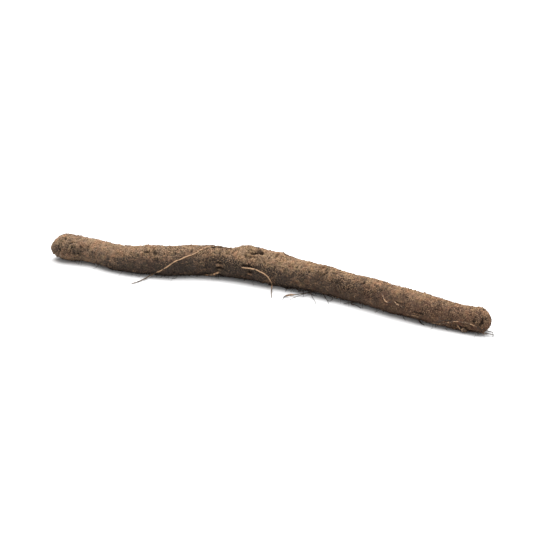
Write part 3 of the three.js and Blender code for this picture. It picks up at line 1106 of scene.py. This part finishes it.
class TaprootSettings(bpy.types.PropertyGroup):
    """The taproot's skin and colours."""

    rings: bpy.props.IntProperty(
        name="Rings", description="Rings of the skin along the root", default=880, min=200
    )
    sides: bpy.props.IntProperty(
        name="Sides", description="Faces of the skin round the root", default=108, min=24
    )
    relief: bpy.props.FloatProperty(
        name="Relief", description="Depth of the wrinkles, pits and lumps, as a share of the usual",
        default=1.0, min=0, max=2, subtype="FACTOR",
    )
    seed: bpy.props.IntProperty(name="Seed", description="Seed of the bark's random marks", default=5)
    bark: colour_property("Bark", "Brown skin of the root", (0.092, 0.062, 0.044))
    damp: colour_property("Damp soil", "Darker soil in patches", (0.044, 0.032, 0.025))
    rust: colour_property("Rust", "Redder bands across the bark", (0.125, 0.068, 0.044))
    dust: colour_property("Dust", "Dried soil on the upper side", (0.241, 0.148, 0.085))
    sand: colour_property("Sand", "Pale grains", (0.35, 0.228, 0.135))
    # The pit colour also paints the hollows near black: dark soil, and painted shade.
    pit: colour_property("Pit", "Hollows and cracks", (0.016, 0.010, 0.007))
    flesh: colour_property("Flesh", "Skin rubbed raw at the ends", (0.42, 0.2, 0.1))


class RootletSettings(bpy.types.PropertyGroup):
    """The stout rootlets, the small ones and the root hairs."""

    skin: colour_property("Skin", "Thin skin of the rootlets", (0.44, 0.27, 0.155))
    soiled: colour_property("Soiled", "Soil stuck to the rootlets", (0.075, 0.051, 0.036))
    damp: colour_property("Damp soil", "Damp soil on the dark rootlets", (0.03, 0.019, 0.013))
    felt: number_property("Felt", "Short root hairs per square metre of bark", 300000)
    hairs: number_property("Fine rootlets", "Longer root hairs per square metre of bark", 30000)
    hair_length: length_property("Hair length", "Length of the longest fine rootlet", 0.012)
    hair_thickness: length_property("Hair thickness", "Radius of a fine rootlet at its base", 0.00018)


class SoilSettings(bpy.types.PropertyGroup):
    """The crumbs of dry soil on the bark."""

    crumbs: number_property("Crumbs", "Crumbs of soil per square metre of bark", 450000)
    smallest: length_property("Smallest", "Radius of the smallest crumb", 0.00018)
    largest: length_property("Largest", "Radius of the largest crumb", 0.0008)


class StageSettings(bpy.types.PropertyGroup):
    """The floor, lights and camera."""

    floor: colour_property("Floor", "Pale floor", (0.6, 0.6, 0.6))
    key: number_property("Overhead light", "Strength of the soft light above", 7.0)
    fill: number_property("Fill light", "Strength of the light all round", 0.9)
    azimuth: angle_property("Azimuth", "Turn of the camera round the root", 25.6)
    elevation: angle_property("Elevation", "Height of the camera above the horizon", 20)
    distance: length_property("Distance", "From the camera to what it looks at", 1.1)
    lens: bpy.props.FloatProperty(
        name="Lens", description="Focal length of the camera", default=98.6, subtype="DISTANCE_CAMERA"
    )
    target: bpy.props.FloatVectorProperty(
        name="Target", description="The point that the camera looks at", default=(-0.0014, 0.0087, 0.0162),
        subtype="XYZ", unit="LENGTH",
    )


def colours_of(settings):
    """The colours of a group of settings by name."""
    values = {key: getattr(settings, key) for key in settings.__annotations__}
    return {key: tuple(value) for key, value in values.items() if hasattr(value, "__len__")}


# ---- The stage ----


def make_floor(colour, half=4000):
    """A flat pale floor, so many millimetres from its middle to each side."""
    corners = [(-half, -half, 0), (half, -half, 0), (half, half, 0), (-half, half, 0)]
    floor = mesh_object("floor", corners, [(0, 1, 2, 3)], smooth=False)
    floor.data.materials.append(Skin("pale_floor").finish(tuple(colour), roughness=0.9, gloss=0.1))
    return floor


def light_scene(scene, key, fill, softness=math.radians(70), way=(0.17, -0.36, -1)):
    """An even white surround, and a soft light that shines its way from above and a little behind."""
    world = bpy.data.worlds.new("soft_surround")
    world.use_nodes = True
    surround = world.node_tree.nodes["Background"].inputs
    surround["Color"].default_value = (1.0, 1.0, 1.0, 1.0)
    surround["Strength"].default_value = fill
    scene.world = world

    lamp = bpy.data.lights.new("overhead_softbox", "SUN")
    lamp.energy = key
    lamp.angle = softness
    overhead = linked("overhead_softbox", lamp)
    overhead.rotation_euler = Vector(way).to_track_quat("-Z", "Y").to_euler()


def place_camera(scene, settings):
    """A camera that looks at the target from an azimuth, an elevation and a distance."""
    flat = math.cos(settings.elevation) * settings.distance
    back = Vector((
        math.sin(settings.azimuth) * flat,
        -math.cos(settings.azimuth) * flat,
        math.sin(settings.elevation) * settings.distance,
    ))
    lens = bpy.data.cameras.new("camera")
    lens.lens = settings.lens
    lens.sensor_width = 36
    lens.clip_start = 0.05
    lens.clip_end = 20
    camera = linked("camera", lens)
    camera.location = Vector(settings.target) + back
    camera.rotation_euler = (-back).to_track_quat("-Z", "Y").to_euler()
    scene.camera = camera
    scene.view_settings.view_transform = "Standard"


# ---- Operators and panel ----


def dress(piece):
    """Puts a finished piece on the root's body, in place of its solid."""
    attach(piece, BODY)
    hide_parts(NODE)


def found(name):
    """A piece made earlier, or an error that says what is missing."""
    if name not in bpy.data.objects:
        raise RuntimeError(f"make {name} first")
    return bpy.data.objects[name]


class BURDOCK_OT_taproot(bpy.types.Operator):
    """Makes the taproot's bark over its solid"""

    bl_idname = "burdock.taproot"
    bl_label = "Taproot"

    def execute(self, context):
        settings = context.scene.burdock_taproot
        dress(make_taproot(settings, bark_material(colours_of(settings))))
        return {"FINISHED"}


class BURDOCK_OT_rootlets(bpy.types.Operator):
    """Makes the stout rootlets that lie over the bark and come down to the surface"""

    bl_idname = "burdock.rootlets"
    bl_label = "Stout rootlets"

    def execute(self, context):
        colours = colours_of(context.scene.burdock_rootlets)
        for name, (radii, soil_share, bark, free) in ROOTLETS.items():
            material = rootlet_material(name + "_skin", colours["skin"], colours["soiled"], soil_share)
            route = bark_route(bark, context.scene.burdock_taproot, stand=0.4 * radii[1], every=3)
            dress(make_rootlet(name, radii, np.vstack((route, free)), material))
        return {"FINISHED"}


class BURDOCK_OT_small_rootlets(bpy.types.Operator):
    """Makes the small rootlets, stubs and strips of loose bark, one by one"""

    bl_idname = "burdock.small_rootlets"
    bl_label = "Small rootlets"

    def execute(self, context):
        colours = colours_of(context.scene.burdock_rootlets)
        skins = {
            "clean": rootlet_material("stub_skin", colours["skin"], colours["soiled"], soil_share=0.5),
            "soiled": rootlet_material(
                "soiled_rootlet_skin", colours["soiled"], colours["damp"], soil_share=0.7
            ),
        }
        for name, (kind, radii, bark, free) in SMALL_ROOTLETS.items():
            stretches = []
            if len(bark) > 1:
                relief = context.scene.burdock_taproot
                stretches.append(bark_route(bark, relief, stand=0.6 * radii[1], every=5))
            elif bark:
                along, degrees = np.array(bark, float).T
                stretches.append(bark_points(along, np.radians(degrees)))
            if free:
                stretches.append(beside(free))
            dress(make_rootlet(name, radii, np.vstack(stretches), skins[kind], wander=0.6))
        return {"FINISHED"}


class BURDOCK_OT_root_hairs(bpy.types.Operator):
    """Grows the root hairs out of the bark: a felt of short ones all over and longer ones low down"""

    bl_idname = "burdock.root_hairs"
    bl_label = "Root hairs"

    def execute(self, context):
        settings = context.scene.burdock_rootlets
        colours = colours_of(settings)
        skin = rootlet_material("root_hair_skin", colours["skin"], colours["soiled"], soil_share=0.9)
        tree = hair_tree("root_hair_felt", skin, count=6, sides=3)
        values = {"Hairs per square metre": settings.felt} | FELT
        dress(made_by(tree, found("taproot"), "root_hair_felt", values))
        skin = rootlet_material("fine_rootlet_skin", colours["soiled"], colours["damp"], soil_share=0.6)
        tree = hair_tree("fine_rootlets", skin, count=12, sides=5)
        values = FINE_ROOTLETS | {
            "Hairs per square metre": settings.hairs,
            "Length": settings.hair_length,
            "Thickness": settings.hair_thickness,
        }
        dress(made_by(tree, found("taproot"), "fine_rootlets", values))
        return {"FINISHED"}


class BURDOCK_OT_soil(bpy.types.Operator):
    """Sticks crumbs of dry soil to the bark"""

    bl_idname = "burdock.soil"
    bl_label = "Soil crumbs"

    def execute(self, context):
        settings = context.scene.burdock_soil
        taproot = found("taproot")
        values = {
            "Crumbs per square metre": settings.crumbs,
            "Smallest": settings.smallest,
            "Largest": settings.largest,
            "Seed": 8,
        }
        dress(made_by(crumb_tree(taproot.data.materials[0]), taproot, "soil_crumbs", values))
        return {"FINISHED"}


class BURDOCK_OT_stage(bpy.types.Operator):
    """Sets up the pale floor, the soft lights and the camera"""

    bl_idname = "burdock.stage"
    bl_label = "Stage"

    def execute(self, context):
        settings = context.scene.burdock_stage
        floor = make_floor(settings.floor)
        light_scene(context.scene, settings.key, settings.fill)
        place_camera(context.scene, settings)
        return {"FINISHED"}


class BURDOCK_PT_panel(bpy.types.Panel):
    """Lists the pieces of the root and their settings"""

    bl_idname = "BURDOCK_PT_panel"
    bl_label = "Burdock root"
    bl_space_type = "VIEW_3D"
    bl_region_type = "UI"
    bl_category = "Burdock root"

    def draw(self, context):
        for name, _, steps in SECTIONS:
            box = self.layout.box()
            for step in steps:
                box.operator(step.bl_idname)
            settings = getattr(context.scene, name)
            for key in settings.__annotations__:
                box.prop(settings, key)


# Each group of settings, with the operators that use it, in the order in which they run.
SECTIONS = (
    ("burdock_taproot", TaprootSettings, (BURDOCK_OT_taproot,)),
    (
        "burdock_rootlets", RootletSettings,
        (BURDOCK_OT_rootlets, BURDOCK_OT_small_rootlets, BURDOCK_OT_root_hairs),
    ),
    ("burdock_soil", SoilSettings, (BURDOCK_OT_soil,)),
    ("burdock_stage", StageSettings, (BURDOCK_OT_stage,)),
)
CLASSES = [cls for _, group, steps in SECTIONS for cls in (group, *steps)] + [BURDOCK_PT_panel]


def register():
    """Makes the settings, operators and panel known."""
    for cls in CLASSES:
        bpy.utils.register_class(cls)
    for name, group, _ in SECTIONS:
        setattr(bpy.types.Scene, name, bpy.props.PointerProperty(type=group))


def unregister():
    """Takes them away again."""
    for name, _, _ in SECTIONS:
        delattr(bpy.types.Scene, name)
    for cls in reversed(CLASSES):
        bpy.utils.unregister_class(cls)


def main():
    """Runs every operator in order."""
    register()
    for _, _, steps in SECTIONS:
        for step in steps:
            category, name = step.bl_idname.split(".")
            getattr(getattr(bpy.ops, category), name)()


if __name__ == "__main__":
    main()
